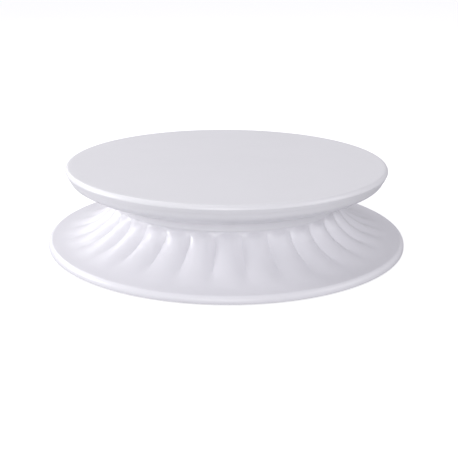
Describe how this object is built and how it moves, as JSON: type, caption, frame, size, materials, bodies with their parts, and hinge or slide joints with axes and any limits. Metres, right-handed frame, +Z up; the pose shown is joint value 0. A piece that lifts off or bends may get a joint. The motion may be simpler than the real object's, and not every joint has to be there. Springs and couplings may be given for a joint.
{
  "type": "cake turntable",
  "caption": "Round flat cake turntable plate with a bowl-shaped underside, turning on a ball ring above a ribbed trumpet-shaped base.",
  "frame": {"origin": "bottom centre, on the surface the rubber feet stand on", "axes": "+Z up along the axis the plate turns on; -Y is the front"},
  "size_m": [0.315, 0.315, 0.07],
  "materials": {
    "plate_white": "gloss white",
    "base_white": "gloss white",
    "bearing_steel": "ground",
    "ball_steel": "polished",
    "fastener_steel": "bright plated",
    "natural_nylon": "satin",
    "foot_rubber": "matt grey"
  },
  "bodies": {
    "base": {"base_shell": "base_white", "lower_race": "bearing_steel", "lower_race_screws": "fastener_steel", "centre_bush": "natural_nylon", "thrust_washer": "natural_nylon", "foot_1": "foot_rubber", "foot_2": "foot_rubber", "foot_3": "foot_rubber", "foot_4": "foot_rubber", "foot_5": "foot_rubber", "foot_6": "foot_rubber"},
    "cage": {"ball_cage": "natural_nylon", "ball_1": "ball_steel", "ball_2": "ball_steel", "ball_3": "ball_steel", "ball_4": "ball_steel", "ball_5": "ball_steel", "ball_6": "ball_steel", "ball_7": "ball_steel", "ball_8": "ball_steel", "ball_9": "ball_steel", "ball_10": "ball_steel", "ball_11": "ball_steel", "ball_12": "ball_steel"},
    "plate": {"top_plate": "plate_white", "plate_under_shell": "plate_white", "plate_screws": "fastener_steel", "upper_race": "bearing_steel", "upper_race_screws": "fastener_steel", "centre_spindle": "bearing_steel", "end_washer": "fastener_steel", "end_screw": "fastener_steel"}
  },
  "joints": [
    {"name": "plate_spin", "type": "hinge", "parent": "base", "child": "plate", "pos_m": [0, 0, 0.031], "axis": [0, 0, 1], "continuous": true},
    {"name": "cage_spin", "type": "hinge", "parent": "base", "child": "cage", "pos_m": [0, 0, 0.031], "axis": [0, 0, 1], "continuous": true}
  ],
  "couplings": [
    {"joint": "cage_spin", "follows": "plate_spin", "ratio": 0.5}
  ]
}
